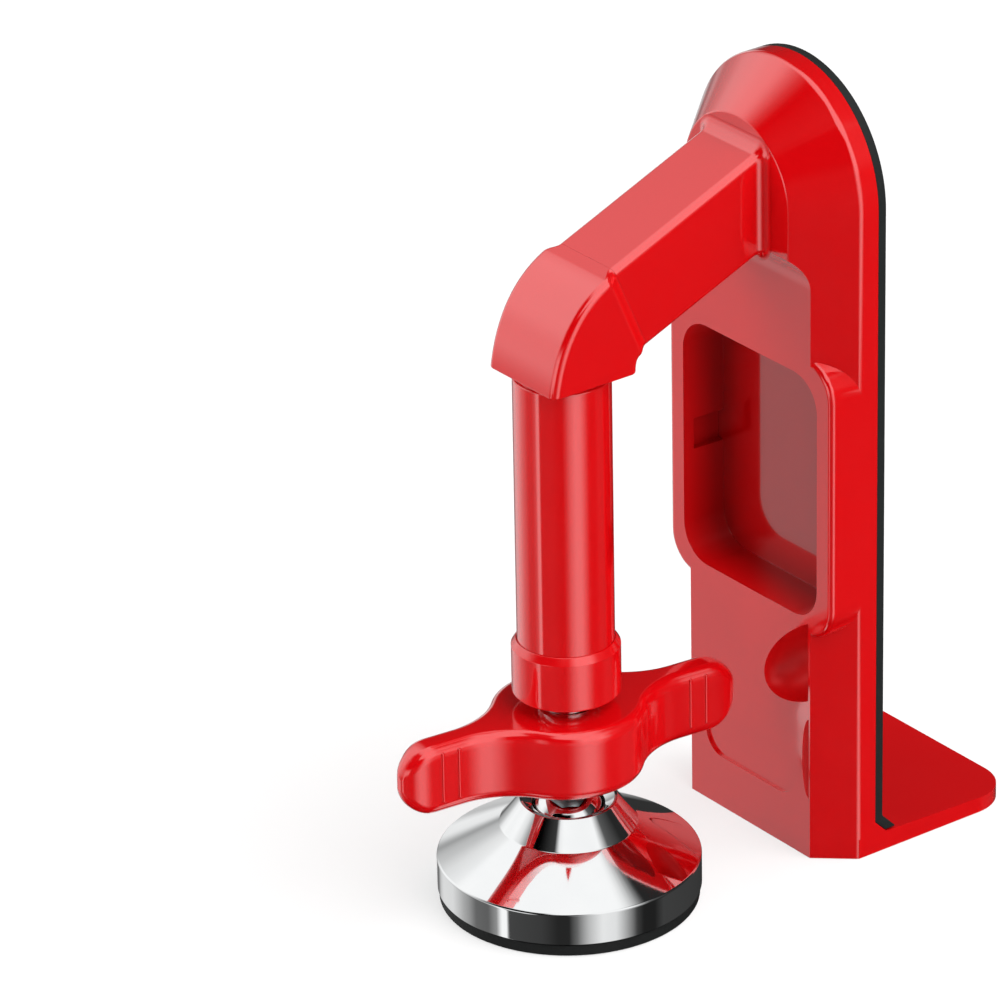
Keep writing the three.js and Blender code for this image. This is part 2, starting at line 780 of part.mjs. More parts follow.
function makeFootRubber() {
  const plug = rimRadius - skirtWall - seatGap;
  const shoulder = rimLow - seatGap;
  const treads = treadShares.map((share) => plug * share);
  const grooves = treads.map((radius) => turned(tubeProfile(
    radius - treadGroove, radius + treadGroove, -overrun, treadGroove), wideRoundSteps));
  const body = turned([
    [0, 0],
    [rubberRadius - rubberEdge, 0],
    [rubberRadius, rubberEdge],
    [rubberRadius, shoulder],
    [plug, shoulder],
    [plug, rubberTop],
    [0, rubberTop],
  ], wideRoundSteps);
  return grooves.reduce((rubber, groove) => rubber.subtract(groove), body);
}

const hexRing = (flats, bore, low, high) => {
  return hexRod(flats, low, high)
    .subtract(turned(rodProfile(bore, low - overrun, high + overrun), roundSteps));
};

const pieces = {
  bracket: [makeBracket(), paints.redPaint()],
  door_pad: [makePad(), paints.blackRubber()],
  arm: [makeArm(), paints.redPaint()],
  arm_screw_lower: [makeArmScrew(screwHeights[0]), paints.steel()],
  arm_screw_upper: [makeArmScrew(screwHeights[1]), paints.steel()],
  elbow: [makeElbow(), paints.redPaint()],
  leg_tube: [makeTube(), paints.redPaint()],
  tube_collar: [makeCollar(), paints.redPaint()],
  spindle_nut: [makeNut(), paints.brass()],
  nut_pin_left: [makeNutPin(-1), paints.steel()],
  nut_pin_right: [makeNutPin(1), paints.steel()],
  spindle: [makeSpindle(), paints.chrome()],
  wing_knob: [makeKnob(), paints.redPlastic()],
  knob_insert: [hexRing(insertFlats, runningBore, insertLow, knobHigh - seatGap), paints.brass()],
  lock_washer: [
    turned(tubeProfile(runningBore, jamNutFlats / 2, washerLow, washerLow + washerHeight), roundSteps),
    paints.steel(),
  ],
  jam_nut: [hexRing(jamNutFlats, runningBore, knobLow + recessMargin, jamNutTop), paints.steel()],
  foot_shell: [makeFootShell(), paints.chrome()],
  ball_cup: [makeBallCup(), paints.nylon()],
  base_disc: [makeBaseDisc(), paints.steel()],
  foot_rubber: [makeFootRubber(), paints.blackRubber()],
};

const doorStopper = new THREE.Group();
for (const [name, [solid, material]] of Object.entries(pieces)) {
  const mesh = new THREE.Mesh(toGeometry(solid), material);
  mesh.name = name;
  doorStopper.add(mesh);
}

export default doorStopper;
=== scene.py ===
from math import atan2, cos, hypot, pi, radians, sin, sqrt

import bmesh
import bpy
from mathutils import Matrix, Vector


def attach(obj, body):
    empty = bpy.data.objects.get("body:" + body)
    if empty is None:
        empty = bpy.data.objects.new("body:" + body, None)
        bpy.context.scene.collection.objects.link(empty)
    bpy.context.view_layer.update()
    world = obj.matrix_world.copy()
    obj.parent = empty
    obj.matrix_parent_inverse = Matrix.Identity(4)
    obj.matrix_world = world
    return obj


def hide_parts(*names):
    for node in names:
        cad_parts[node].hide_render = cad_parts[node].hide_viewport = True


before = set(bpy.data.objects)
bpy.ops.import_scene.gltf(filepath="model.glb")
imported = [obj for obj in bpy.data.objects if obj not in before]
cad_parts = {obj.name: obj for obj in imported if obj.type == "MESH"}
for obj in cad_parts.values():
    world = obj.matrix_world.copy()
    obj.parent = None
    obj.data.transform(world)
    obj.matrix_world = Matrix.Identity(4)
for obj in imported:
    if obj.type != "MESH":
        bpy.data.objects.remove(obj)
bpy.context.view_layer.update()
print("frame loaded:", len(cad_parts), "nodes")

mm = 0.001
legReach = 61.9  # mm from the door's face to the leg's axis
legAxis = Vector((0, -legReach * mm, 0))

# the photograph's camera: azimuth and elevation in degrees, roll in radians, distance and aim
# in metres, lens and sensor in millimetres
view = {
    "azimuth": 53.48, "elevation": 25.83, "roll": -0.02, "distance": 1.4938,
    "aimRight": -0.06372, "aimUp": 0.0638, "lens": 254.64, "sensorWidth": 36, "clipStart": 0.1,
}


def placeCamera():
    azimuth, elevation = radians(view["azimuth"]), radians(view["elevation"])
    back = Vector((sin(azimuth) * cos(elevation), -cos(azimuth) * cos(elevation), sin(elevation)))
    level = Vector((cos(azimuth), sin(azimuth), 0))
    upright = back.cross(level)
    right = level * cos(view["roll"]) + upright * sin(view["roll"])
    up = upright * cos(view["roll"]) - level * sin(view["roll"])
    aim = right * view["aimRight"] + up * view["aimUp"]
    place = aim + back * view["distance"]
    bpy.ops.object.camera_add(location=place)
    camera = bpy.context.object
    camera.matrix_world = Matrix((
        (right.x, up.x, back.x, place.x),
        (right.y, up.y, back.y, place.y),
        (right.z, up.z, back.z, place.z),
        (0, 0, 0, 1),
    ))
    camera.data.lens = view["lens"]
    camera.data.sensor_width = view["sensorWidth"]
    camera.data.clip_start = view["clipStart"]
    bpy.context.scene.camera = camera


placeCamera()
print("camera placed")


# a hex colour as linear red, green and blue, with an alpha of 1
def linear(hexColour):
    channels = [int(hexColour[i:i + 2], 16) / 255 for i in (1, 3, 5)]
    return [c / 12.92 if c < 0.04045 else ((c + 0.055) / 1.055) ** 2.4 for c in channels] + [1]


def addNode(tree, kind, values=None, links=None, **settings):
    node = tree.nodes.new(kind)
    for name, value in settings.items():
        setattr(node, name, value)
    for name, value in (values or {}).items():
        node.inputs[name].default_value = value
    for name, socket in (links or {}).items():
        tree.links.new(socket, node.inputs[name])
    return node


# the result of a math operation on sockets and numbers
def compute(tree, operation, *terms):
    node = addNode(tree, "ShaderNodeMath", operation=operation)
    for socket, term in zip(node.inputs, terms):
        if isinstance(term, bpy.types.NodeSocket):
            tree.links.new(term, socket)
        else:
            socket.default_value = term
    return node.outputs[0]


# a value mapped from one range to another
def remap(tree, value, limits, **settings):
    node = addNode(tree, "ShaderNodeMapRange", limits, {"Value": value}, **settings)
    return node.outputs["Result"]


# noise with features of about this size in millimetres
def noise(tree, where, size, detail):
    return addNode(tree, "ShaderNodeTexNoise", {"Scale": 1000 / size, "Detail": detail},
                   {"Vector": where}).outputs["Fac"]


def newMaterial(name, values):
    material = bpy.data.materials.new(name)
    material.use_nodes = True
    tree = material.node_tree
    shader = tree.nodes["Principled BSDF"]
    for socket, value in values.items():
        shader.inputs[socket].default_value = value
    return material, tree, shader


# links what varies over a finish: its colour between two by patches, its roughness, and a
# relief of this height in millimetres
def vary(tree, shader, colours, patches, roughness, relief, height):
    shade = addNode(tree, "ShaderNodeMix", {"A": linear(colours[0]), "B": linear(colours[1])},
                    {"Factor": patches}, data_type="RGBA")
    bump = addNode(tree, "ShaderNodeBump", {"Strength": 1.0, "Distance": height * mm},
                   {"Height": relief})
    tree.links.new(shade.outputs["Result"], shader.inputs["Base Color"])
    tree.links.new(roughness, shader.inputs["Roughness"])
    tree.links.new(bump.outputs["Normal"], shader.inputs["Normal"])


def redFinish(name, colours, roughness, peelSize, peelHeight, coat):
    material, tree, shader = newMaterial(name, {
        "IOR": 1.45, "Metallic": 0.1, "Coat Weight": coat, "Coat IOR": 2.15,
        "Coat Roughness": 0.06,
    })
    where = addNode(tree, "ShaderNodeTexCoord").outputs["Object"]
    patches = noise(tree, where, 30, 2.0)
    smudges = noise(tree, where, 7, 4.0)
    gloss = remap(tree, smudges, {
        "From Min": 0.3, "From Max": 0.7, "To Min": roughness[0], "To Max": roughness[1]})
    peel = noise(tree, where, peelSize, 1.5)
    vary(tree, shader, colours, patches, gloss, peel, peelHeight)
    return material


def rubberFinish(name, colours, grainSize, grainHeight):
    material, tree, shader = newMaterial(name, {"IOR": 1.52, "Specular IOR Level": 0.35})
    where = addNode(tree, "ShaderNodeTexCoord").outputs["Object"]
    patches = noise(tree, where, 9, 5.0)
    grain = noise(tree, where, grainSize, 3.0)
    dull = remap(tree, grain, {"To Min": 0.52, "To Max": 0.78})
    vary(tree, shader, colours, patches, dull, grain, grainHeight)
    return material


def metalFinish(name, colours, roughness, markSize, markHeight):
    material, tree, shader = newMaterial(name, {"Metallic": 1.0})
    where = addNode(tree, "ShaderNodeTexCoord").outputs["Object"]
    patches = noise(tree, where, 6, 3.0)
    gloss = remap(tree, patches, {
        "From Min": 0.3, "From Max": 0.7, "To Min": roughness[0], "To Max": roughness[1]})
    marks = noise(tree, where, markSize, 2.0)
    vary(tree, shader, colours, patches, gloss, marks, markHeight)
    return material


# the casting's hollows, as spans of X, Y and Z in millimetres: painted shade darkens the enamel's
# colour towards the pocket's back, and the enamel is dull on the walls and in the scoop and rail
hollows = {
    "pocket": ((-23.5, 23.5), (-13.8, -3), (54, 111)),
    # painted shade: the darker red that the pocket turns to, and the reach in Y over which it
    # darkens
    "paintedShadeColour": "#a00205", "paintedShadeFrom": -13, "paintedShadeTo": -6,
    "walls": ((-23.5, 23.5), (-13.95, -3.95), (54.6, 111)),
    "scoop": ((4, 19.5), (-14.02, -3), (32.5, 54.5)),
    "rail": ((16, 19.5), (-14.02, -12), (13, 33)),
    "dullRoughness": 0.4,
}


# 1 inside a box and 0 outside it
def insideBox(tree, axes, box):
    result = 1.0
    for axis, (low, high) in zip("XYZ", box):
        inside = compute(tree, "COMPARE", axes[axis], (low + high) / 2 * mm, (high - low) / 2 * mm)
        result = compute(tree, "MULTIPLY", result, inside)
    return result


def shadeAndDullHollows(material):
    tree = material.node_tree
    shader = tree.nodes["Principled BSDF"]
    where = addNode(tree, "ShaderNodeTexCoord").outputs["Object"]
    axes = addNode(tree, "ShaderNodeSeparateXYZ", links={"Vector": where}).outputs
    # painted shade: the base colour darkens towards the pocket's back, as if less light reached it
    depth = remap(tree, axes["Y"], {
        "From Min": hollows["paintedShadeFrom"] * mm, "From Max": hollows["paintedShadeTo"] * mm})
    paintedShade = compute(tree, "MULTIPLY", insideBox(tree, axes, hollows["pocket"]), depth)
    dull = insideBox(tree, axes, hollows["walls"])
    for name in ("scoop", "rail"):
        dull = compute(tree, "MAXIMUM", dull, insideBox(tree, axes, hollows[name]))
    for socket, kind, value, share in (
            ("Base Color", "RGBA", linear(hollows["paintedShadeColour"]), paintedShade),
            ("Roughness", "FLOAT", hollows["dullRoughness"], dull)):
        before = shader.inputs[socket].links[0].from_socket
        blend = addNode(tree, "ShaderNodeMix", {"B": value}, {"Factor": share, "A": before},
                        data_type=kind)
        tree.links.new(blend.outputs["Result"], shader.inputs[socket])
    full = shader.inputs["Coat Weight"].default_value
    coat = remap(tree, dull, {"To Min": full, "To Max": 0.0})
    tree.links.new(coat, shader.inputs["Coat Weight"])


finishes = {
    # gloss enamel on cast aluminium: clear reflections with a faint orange peel
    "red_paint": redFinish("redEnamel", ("#d9040a", "#e0060d"), (0.1, 0.15), 2.2, 0.004, 1.0),
    # moulded ABS: a little softer in its gloss than the paint
    "red_plastic": redFinish("redAbs", ("#d9040b", "#e1070f"), (0.14, 0.2), 1.1, 0.003, 0.8),
    # die-cut rubber sheet: black, matt, with a fine grain
    "pad_rubber": rubberFinish("sheetRubber", ("#181a1a", "#212323"), 0.45, 0.02),
    # moulded rubber: as the sheet, a little smoother
    "foot_rubber": rubberFinish("mouldedRubber", ("#151616", "#1d1f1f"), 0.6, 0.012),
    # mirror chrome plate over turned and polished steel
    "chrome": metalFinish("chromePlate", ("#f1f3f4", "#f9fafa"), (0.03, 0.06), 1.6, 0.0006),
    # bright zinc plate
    "zinc_steel": metalFinish("zincPlate", ("#a6abae", "#bcc0c2"), (0.26, 0.38), 0.5, 0.004),
    # turned brass
    "nut_brass": metalFinish("turnedBrass", ("#b3903f", "#c9a95c"), (0.2, 0.32), 0.4, 0.003),
    # natural nylon, moulded
    "cup_nylon": rubberFinish("naturalNylon", ("#dfdcd2", "#ebe9e2"), 0.8, 0.004),
}
shadeAndDullHollows(finishes["red_paint"])
print("materials made:", len(finishes))


# a place in metres from one in millimetres
def at(x, y, z):
    return Vector((x, y, z)) * mm


# makes a piece the active one, and the only one selected
def only(piece):
    bpy.ops.object.select_all(action="DESELECT")
    piece.select_set(True)
    bpy.context.view_layer.objects.active = piece


def named(name):
    piece = bpy.context.object
    piece.name = name
    piece.data.name = name
    return piece


def useModifier(piece, kind, **settings):
    only(piece)
    modifier = piece.modifiers.new(kind.title(), kind)
    for name, value in settings.items():
        setattr(modifier, name, value)
    bpy.ops.object.modifier_apply(modifier=modifier.name)


def fixPlace(piece):
    only(piece)
    bpy.ops.object.transform_apply(location=True, rotation=True, scale=True)


def combine(piece, other, operation="DIFFERENCE"):
    useModifier(piece, "BOOLEAN", object=other, operation=operation, solver="EXACT")
    bpy.data.objects.remove(other)


# merges what coincides within a distance in millimetres, drops edges on what is flat within
# an angle in degrees, and turns the faces outwards
def cleanMesh(piece, flat=0.4):
    merge = 0.002
    only(piece)
    bpy.ops.object.mode_set(mode="EDIT")
    bpy.ops.mesh.select_all(action="SELECT")
    bpy.ops.mesh.remove_doubles(threshold=merge * mm)
    bpy.ops.mesh.dissolve_degenerate(threshold=merge * mm)
    if flat:
        bpy.ops.mesh.dissolve_limited(angle_limit=radians(flat))
    bpy.ops.mesh.delete_loose()
    bpy.ops.mesh.select_all(action="SELECT")
    bpy.ops.mesh.normals_make_consistent(inside=False)
    bpy.ops.object.mode_set(mode="OBJECT")


def roundEdges(piece, width, steps=3, angle=30):
    useModifier(piece, "BEVEL", width=width * mm, segments=steps, limit_method="ANGLE",
                angle_limit=radians(angle), use_clamp_overlap=True, miter_outer="MITER_ARC",
                loop_slide=True)


def smoothShade(piece, angle=40):
    only(piece)
    bpy.ops.object.shade_smooth_by_angle(angle=radians(angle))
    useModifier(piece, "WEIGHTED_NORMAL", mode="FACE_AREA_WITH_ANGLE", weight=80, keep_sharp=True)


# hands a finished piece over: its body, the nodes that it stands for, and its finish
def hand(piece, body, slot, *nodes):
    piece.data.materials.clear()
    piece.data.materials.append(finishes[slot])
    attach(piece, body)
    if nodes:
        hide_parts(*nodes)


# a solid through rings of equal count: a disc is extruded once for each further ring
def ringPiece(name, rings):
    bpy.ops.object.select_all(action="DESELECT")
    count = len(rings[0])
    bpy.ops.mesh.primitive_circle_add(vertices=count, radius=1, fill_type="NGON")
    piece = named(name)
    bpy.ops.object.mode_set(mode="EDIT")
    mesh = bmesh.from_edit_mesh(piece.data)
    mesh.verts.ensure_lookup_table()
    for vertex, place in zip(mesh.verts, rings[0]):
        vertex.co = place
    bpy.ops.mesh.select_all(action="SELECT")
    for last, ring in zip(rings, rings[1:]):
        bpy.ops.mesh.extrude_region_move()
        mesh = bmesh.from_edit_mesh(piece.data)
        step = {tuple(round(v, 7) for v in old): new for old, new in zip(last, ring)}
        for vertex in mesh.verts:
            if vertex.select:
                vertex.co = step[tuple(round(v, 7) for v in vertex.co)]
        bmesh.update_edit_mesh(piece.data)
    bpy.ops.mesh.select_all(action="SELECT")
    bpy.ops.mesh.normals_make_consistent(inside=False)
    bpy.ops.object.mode_set(mode="OBJECT")
    return piece


# corners of [along, up, fillet] become points of an outline with those fillets rounded
def filleted(corners, steps):
    points = []
    for i, (x, y, fillet) in enumerate(corners):
        here = Vector((x, y))
        if not fillet:
            points.append(here)
            continue
        before = (Vector(corners[i - 1][:2]) - here).normalized()
        after = (Vector(corners[(i + 1) % len(corners)][:2]) - here).normalized()
        half = before.angle(after) / 2
        run = fillet * cos(half) / sin(half)
        centre = here + (before + after).normalized() * fillet / sin(half)
        start, end = here + before * run - centre, here + after * run - centre
        turn = start.angle_signed(end)
        for k in range(steps + 1):
            spin = -turn * k / steps
            points.append(centre + Vector((
                start.x * cos(spin) - start.y * sin(spin),
                start.x * sin(spin) + start.y * cos(spin))))
    return points


# a closed profile of [radius, height] spun about the leg's axis
def turnedPiece(name, profile, steps=128):
    bpy.ops.object.select_all(action="DESELECT")
    bpy.ops.mesh.primitive_circle_add(vertices=len(profile), radius=1, fill_type="NOTHING")
    piece = named(name)
    bpy.ops.object.mode_set(mode="EDIT")
    mesh = bmesh.from_edit_mesh(piece.data)
    mesh.verts.ensure_lookup_table()
    for vertex, (radius, height) in zip(mesh.verts, profile):
        vertex.co = at(radius, -legReach, height)
    bmesh.update_edit_mesh(piece.data)
    bpy.ops.mesh.select_all(action="SELECT")
    bpy.ops.mesh.spin(steps=steps, angle=2 * pi, center=legAxis, axis=(0, 0, 1))
    bpy.ops.object.mode_set(mode="OBJECT")
    fixPlace(piece)
    cleanMesh(piece, flat=0)
    return piece


# an outline of [y, z] drawn out along X to both sides
def acrossPiece(name, outline, halfWidth):
    rings = [[at(side * halfWidth, y, z) for y, z in outline] for side in (-1, 1)]
    return ringPiece(name, rings)


# an outline of [x, z] drawn out from one reach ahead of the door to another, and drawn in
# by the inset on the way
def forwardPiece(name, outline, fromReach, toReach, inset=0):
    middle = sum((Vector(p) for p in outline), Vector((0, 0))) / len(outline)
    rings = []
    for reach, draw in ((fromReach, 0), (toReach, inset)):
        rings.append([at(
            x - draw * (1 if x > middle.x else -1), -reach,
            z - draw * (1 if z > middle.y else -1)) for x, z in outline])
    return ringPiece(name, rings)


# an outline of [x, z] with four rounded corners
def roundedBox(halfWidth, low, high, radius, steps=10):
    return filleted([
        (halfWidth, low, radius), (halfWidth, high, radius),
        (-halfWidth, high, radius), (-halfWidth, low, radius),
    ], steps)


# an arch of a band's outline as [x, z]: a half circle over two straight sides
def archOutline(halfWidth, centreZ, low, steps=72):
    arc = [(halfWidth * cos(pi * k / steps), centreZ + halfWidth * sin(pi * k / steps))
           for k in range(steps + 1)]
    return arc + [(-halfWidth, low), (halfWidth, low)]


# Bracket: one gloss-painted casting with its plate under the door
casting = {
    "halfWidth": 26.4, "height": 171.5, "backReach": 2.1, "bandReach": 6.4, "bandRound": 2,
    "bossReach": 17.5, "bossRadius": 16.7, "bossRound": 0.7,
    "faceReach": 14.1, "faceTop": 129, "faceFillet": 8, "cutAhead": 8, "cutBeside": 5, "hair": 0.01,
    "housingLow": 51.3, "housingHigh": 113.7, "housingCorner": 8, "housingEdge": 1.2,
    "housingSteps": 6, "housingRoot": 2,
    "pocketHalfWidth": 21.75, "pocketLow": 55, "pocketHigh": 109.6, "pocketCorner": 7.5,
    "pocketDepth": 10.2, "pocketDraft": 0.5, "pocketAhead": 4,
    "notchLow": 78.2, "notchHigh": 85.2, "notchDepth": 1.3, "notchSetback": 2.6,
    "scoopZ": 45.7, "scoopHalfLength": 17.6, "scoopHalfHeight": 7.6, "scoopDepth": 8.4,
    "scoopSlant": 35.7, "scoopLip": 0.6, "besideLip": 30, "overLip": 80, "aheadOfLip": 12,
    "recessZ": 17, "recessHalfLength": 14.8, "recessHalfHeight": 5.3, "recessDepth": 0.6,
    "recessAhead": 3,
    "railWidth": 2.1, "railLip": 0.4, "railDepth": 1, "railZ": 23, "railHalfLength": 9.2,
    "plateLength": 36.4, "plateRoot": 4.4, "plateEnd": 3, "plateCorner": 10,
    "rootChamfer": 2.8, "rootOverlap": 1, "edge": 0.45,
}


# an ellipsoid about a place on the front, cut off beside the lip
def hollow(name, middle, radii, slant, lip):
    beside, over = lip + casting["besideLip"], casting["overLip"]
    bpy.ops.object.select_all(action="DESELECT")
    bpy.ops.mesh.primitive_uv_sphere_add(segments=96, ring_count=48, radius=1)
    piece = named(name)
    piece.scale = at(*radii)
    piece.rotation_euler = (0, -radians(slant), 0)
    piece.location = at(middle[0], -casting["faceReach"], middle[1])
    fixPlace(piece)
    combine(piece, forwardPiece("lip_side", [(lip, 0), (beside, 0), (beside, over), (lip, over)],
                                0, casting["faceReach"] + casting["aheadOfLip"]))
    return piece


def makeBracket():
    c = casting
    archZ = c["height"] - c["halfWidth"]
    faceHalfWidth = c["halfWidth"] - (c["halfWidth"] - c["bossRadius"]) * (
        c["faceReach"] - c["bandReach"]) / (c["bossReach"] - c["bandReach"])
    profile = filleted([
        (c["halfWidth"], c["backReach"], 0), (c["halfWidth"], c["bandReach"], c["bandRound"]),
        (c["bossRadius"], c["bossReach"], c["bossRound"]), (0, c["bossReach"], 0)], 6)[:-1]
    rings = [[at(x, -reach, z) for x, z in archOutline(halfWidth, archZ, 0)]
             for halfWidth, reach in profile]
    bracket = ringPiece("bracket_casting", rings)
    # the lower front stands behind the boss, and a fillet runs out to it
    ahead, below = -c["bossReach"] - c["cutAhead"], -c["cutBeside"]
    top = c["faceTop"] + c["faceFillet"]
    combine(bracket, acrossPiece("front_cut", filleted([
        (-c["faceReach"], below, 0), (-c["faceReach"], top, c["faceFillet"]),
        (ahead, top, 0), (ahead, below, 0),
    ], 16), c["halfWidth"] + c["cutBeside"]))
    # the raised housing round the pocket, rounded at its front edge
    edge = c["housingEdge"]
    outline = roundedBox(c["halfWidth"], c["housingLow"], c["housingHigh"], c["housingCorner"])
    rings = [[at(x, -c["bandReach"] + c["housingRoot"], z) for x, z in outline]]
    for k in range(c["housingSteps"] + 1):
        turn = pi / 2 * k / c["housingSteps"]
        inset, reach = edge * (1 - cos(turn)), c["faceReach"] - edge + edge * sin(turn)
        inner = roundedBox(c["halfWidth"] - inset, c["housingLow"] + inset,
                           c["housingHigh"] - inset, c["housingCorner"] - inset)
        rings.append([at(x, -reach, z) for x, z in inner])
    combine(bracket, ringPiece("housing", rings), "UNION")
    # the plate, thinner towards its end, and the chamfer at its root
    combine(bracket, makePlate(), "UNION")
    # pocket with a little draft, and a snap notch in each side wall
    mouth = roundedBox(c["pocketHalfWidth"], c["pocketLow"], c["pocketHigh"], c["pocketCorner"])
    back = c["faceReach"] - c["pocketDepth"]
    well = forwardPiece("well", mouth, c["faceReach"] + c["hair"], back, c["pocketDraft"])
    ahead = c["faceReach"] + c["pocketAhead"]
    combine(well, forwardPiece("mouth", mouth, c["faceReach"], ahead), "UNION")
    combine(bracket, well)
    reach = c["pocketHalfWidth"] + c["notchDepth"]
    combine(bracket, forwardPiece("notches", [
        (-reach, c["notchLow"]), (reach, c["notchLow"]), (reach, c["notchHigh"]),
        (-reach, c["notchHigh"])], c["faceReach"] - c["notchSetback"], back))
    # slanted finger scoop and long notch at the right edge, which leave the side as a thin lip
    lip = faceHalfWidth - c["scoopLip"]
    combine(bracket, hollow("scoop", (faceHalfWidth, c["scoopZ"]), (
        c["scoopHalfLength"], c["scoopDepth"], c["scoopHalfHeight"]), c["scoopSlant"], lip))
    lip = faceHalfWidth - c["railLip"]
    combine(bracket, hollow("rail", (lip, c["railZ"]), (
        c["railWidth"], c["railDepth"], c["railHalfLength"]), 0, lip))
    # shallow recess low on the front
    low, high = c["recessZ"] - c["recessHalfHeight"], c["recessZ"] + c["recessHalfHeight"]
    outline = roundedBox(c["recessHalfLength"], low, high, c["recessHalfHeight"] - c["hair"])
    combine(bracket, forwardPiece("recess", outline, c["faceReach"] - c["recessDepth"],
                                  c["faceReach"] + c["recessAhead"]))
    cleanMesh(bracket)
    roundEdges(bracket, c["edge"])
    smoothShade(bracket)
    hand(bracket, "frame", "red_paint", "bracket")


def makePlate():
    c = casting
    side, end, corner = c["halfWidth"], c["plateLength"], c["plateCorner"]
    plan = filleted([
        (-side, -c["bandReach"], 0), (side, -c["bandReach"], 0),
        (side, end, corner), (-side, end, corner),
    ], 14)
    slope = (c["plateRoot"] - c["plateEnd"]) / end
    lowRing = [at(x, y, 0) for x, y in plan]
    highRing = [at(x, y, c["plateRoot"] - slope * max(y, 0)) for x, y in plan]
    plate = ringPiece("plate", [lowRing, highRing])
    over = c["rootOverlap"]
    behind, below, run = -c["backReach"] - over, c["plateRoot"] - over, c["rootChamfer"] + over
    combine(plate, acrossPiece("root", [
        (behind, below), (-c["backReach"] + run, below), (behind, c["plateRoot"] + run)],
        side), "UNION")
    return plate


makeBracket()
print("bracket made")


# Pad: die-cut rubber on the door side, with a toe over the root chamfer
pad = {"thickness": 2.05, "toeTop": 8.07, "toeInset": 0.1, "footZ": 4.5, "edge": 0.3}


def makePad():
    archZ = casting["height"] - casting["halfWidth"]
    sheet = pad["thickness"]
    outline = archOutline(casting["halfWidth"], archZ, pad["toeTop"])
    piece = forwardPiece("door_pad_sheet", outline, 0, sheet)
    inner = casting["plateRoot"] + casting["rootChamfer"] - casting["backReach"] + pad["toeInset"]
    toe = acrossPiece("toe", [
        (0, pad["toeTop"]), (-sheet, pad["toeTop"]), (-sheet, inner + sheet),
        (inner - pad["footZ"], pad["footZ"]), (pad["toeTop"] - pad["footZ"], pad["footZ"]),
    ], casting["halfWidth"])
    combine(piece, toe, "UNION")
    cleanMesh(piece)
    roundEdges(piece, pad["edge"], 3)
    smoothShade(piece)
    hand(piece, "frame", "pad_rubber", "door_pad")


makePad()
print("pad made")


# Arm and elbow: two painted castings that meet at a slanted joint
arm = {
    "halfWidth": 9.2, "rootTop": 157.2, "rootBottom": 135, "rootReach": 17.55, "slope": 0.41,
    "edge": 1.7, "cornerSteps": 12, "fillet": 2.2, "filletSteps": 16,
    "jointTopReach": 55.4, "jointBottomReach": 47.2,
}
elbow = {
    "bottom": 118.6, "step": 1.7, "blend": 2.8, "blendSteps": 10, "halfDepth": 10.7, "shift": 0.35,
    "crownReach": 8, "crownRise": 16.2, "innerRise": 2.6, "rim": 0.4, "rimSteps": 4, "gap": 0.04,
    "seat": 0.3, "sections": 30, "groove": 0.8, "neckRadius": 9.3, "neckInside": 1,
}


# a rounded rectangle across X between two places in Y and Z
def section(low, high, halfWidth, corner, steps):
    low, high = Vector(low), Vector(high)
    rise = high - low
    length = rise.length
    rise.normalize()
    corner = min(corner, halfWidth, length / 2)
    ring = []
    for quarter, (x, up) in enumerate((
            (halfWidth - corner, length - corner), (corner - halfWidth, length - corner),
            (corner - halfWidth, corner), (halfWidth - corner, corner))):
        for k in range(steps + 1):
            turn = (quarter + k / steps) * pi / 2
            along = up + corner * sin(turn)
            ring.append(at(x + corner * cos(turn), low.x + rise.x * along, low.y + rise.y * along))
    return ring


# a place in Y and Z on the arm's top or bottom line, from its height at the root
def armLine(root, reach):
    return (-reach, root - arm["slope"] * (reach - casting["bossReach"]))


# the lower and upper end of the slanted joint, or of a cut this far along towards the leg
def jointEnds(along):
    slant = hypot(1, arm["slope"])
    shift = Vector((-along / slant, -along * arm["slope"] / slant))
    return (Vector(armLine(arm["rootBottom"], arm["jointBottomReach"])) + shift,
            Vector(armLine(arm["rootTop"], arm["jointTopReach"])) + shift)


def jointSection(along, halfWidth, corner):
    return section(*jointEnds(along), halfWidth, corner, arm["cornerSteps"])


def makeArm():
    rings = []
    for k in range(arm["filletSteps"] + 1):
        turn = pi / 2 * k / arm["filletSteps"]
        grow = arm["fillet"] * (1 - sin(turn))
        reach = arm["rootReach"] + arm["fillet"] * (1 - cos(turn))
        lowY, lowZ = armLine(arm["rootBottom"], reach)
        highY, highZ = armLine(arm["rootTop"], reach)
        rings.append(section((lowY, lowZ - grow), (highY, highZ + grow),
                             arm["halfWidth"] + grow, arm["edge"] + grow, arm["cornerSteps"]))
    rings.append(jointSection(0, arm["halfWidth"], arm["edge"]))
    piece = ringPiece("arm_casting", rings)
    smoothShade(piece, 50)
    hand(piece, "frame", "red_paint", "arm")


# a place on the curve from start to end that bend draws towards itself
def curvePoint(start, bend, end, share):
    rest = 1 - share
    return [rest * rest * a + 2 * rest * share * b + share * share * c
            for a, b, c in zip(start, bend, end)]


